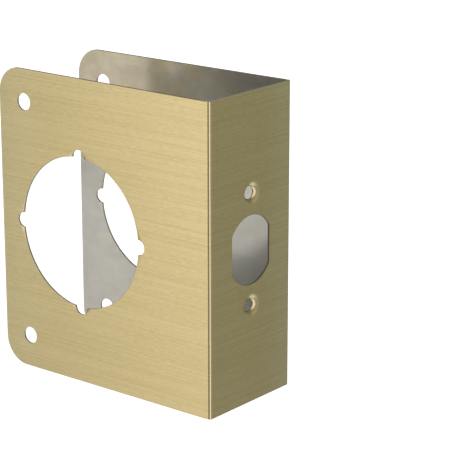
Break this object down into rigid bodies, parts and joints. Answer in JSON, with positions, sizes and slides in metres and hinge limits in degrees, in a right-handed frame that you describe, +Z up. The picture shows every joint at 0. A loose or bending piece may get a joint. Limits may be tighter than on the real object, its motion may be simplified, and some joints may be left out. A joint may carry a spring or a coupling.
{
  "type": "door lock reinforcement plate",
  "caption": "Steel sheet folded round a door's edge to back up its lock, with a notched cross bore in both cheeks, a flat-sided latch hole and dimpled screw holes.",
  "frame": {"origin": "middle of the plate's box at its lower edge, on the surface that it stands on", "axes": "+X from the cheeks' free edges to the spine, out of the door's edge; Y through the door's thickness; +Z up the door's edge"},
  "size_m": [0.1, 0.046, 0.1143],
  "materials": {
    "brass_finished_sheet": "brushed brass-coloured finish outside, bare mill-finish steel inside and on the cut edges"
  },
  "bodies": {
    "root": {"wrap_plate": "brass_finished_sheet"}
  },
  "joints": []
}
